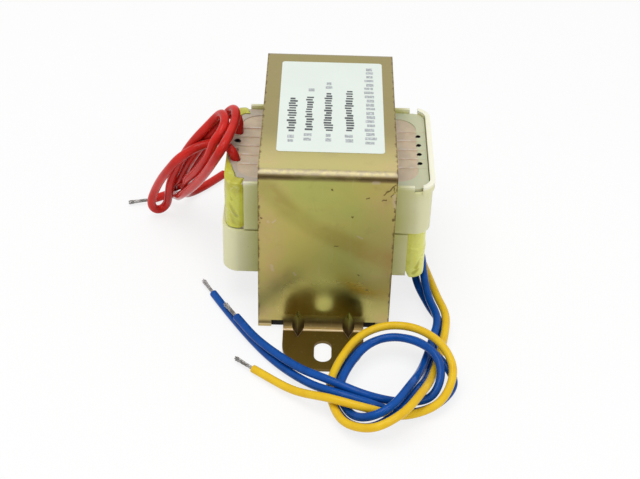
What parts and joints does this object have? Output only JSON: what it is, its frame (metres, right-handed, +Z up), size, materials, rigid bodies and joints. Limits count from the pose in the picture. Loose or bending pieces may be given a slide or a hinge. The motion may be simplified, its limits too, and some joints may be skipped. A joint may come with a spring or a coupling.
{
  "type": "laminated mains transformer",
  "caption": "Laminated-core mains transformer in a bent steel frame bracket with slotted feet, split coil former, nylon covers and coloured flying leads.",
  "frame": {"origin": "middle of the core on the mounting plane, between the two feet", "axes": "+X through the stack of laminations towards the secondary leads' end, +Y from the front foot to the rear foot, +Z up"},
  "size_m": [0.1044, 0.1364, 0.0561],
  "materials": {
    "passivated_steel": "yellow-passivated zinc on steel strip, semi-gloss, worn edges",
    "core_steel": "punched electrical steel sheets, varnished",
    "former_nylon": "moulded coil former, satin",
    "copper_wire": "enamelled winding wire",
    "coil_tape": "yellow polyester coil tape",
    "cover_nylon": "translucent cream moulding",
    "label_stock": "matt white film label",
    "red_pvc": "red lead insulation",
    "blue_pvc": "blue lead insulation",
    "yellow_pvc": "yellow lead insulation",
    "tinned_copper": "tinned stranded conductor"
  },
  "bodies": {
    "root": {"frame_bracket": "passivated_steel", "e_laminations": "core_steel", "i_laminations": "core_steel", "bobbin": "former_nylon", "primary_winding": "copper_wire", "secondary_winding": "copper_wire", "primary_tape": "coil_tape", "secondary_tape": "coil_tape", "primary_cover": "cover_nylon", "secondary_cover": "cover_nylon", "rating_label": "label_stock", "red_lead_front": "red_pvc", "red_lead_rear": "red_pvc", "red_hank": "red_pvc", "red_tail_left": "red_pvc", "red_tail_right": "red_pvc", "red_tip_left": "tinned_copper", "red_tip_right": "tinned_copper", "blue_lead_front": "blue_pvc", "blue_lead_rear": "blue_pvc", "yellow_lead": "yellow_pvc", "blue_tip_front": "tinned_copper", "blue_tip_rear": "tinned_copper", "yellow_tip": "tinned_copper"}
  },
  "joints": []
}
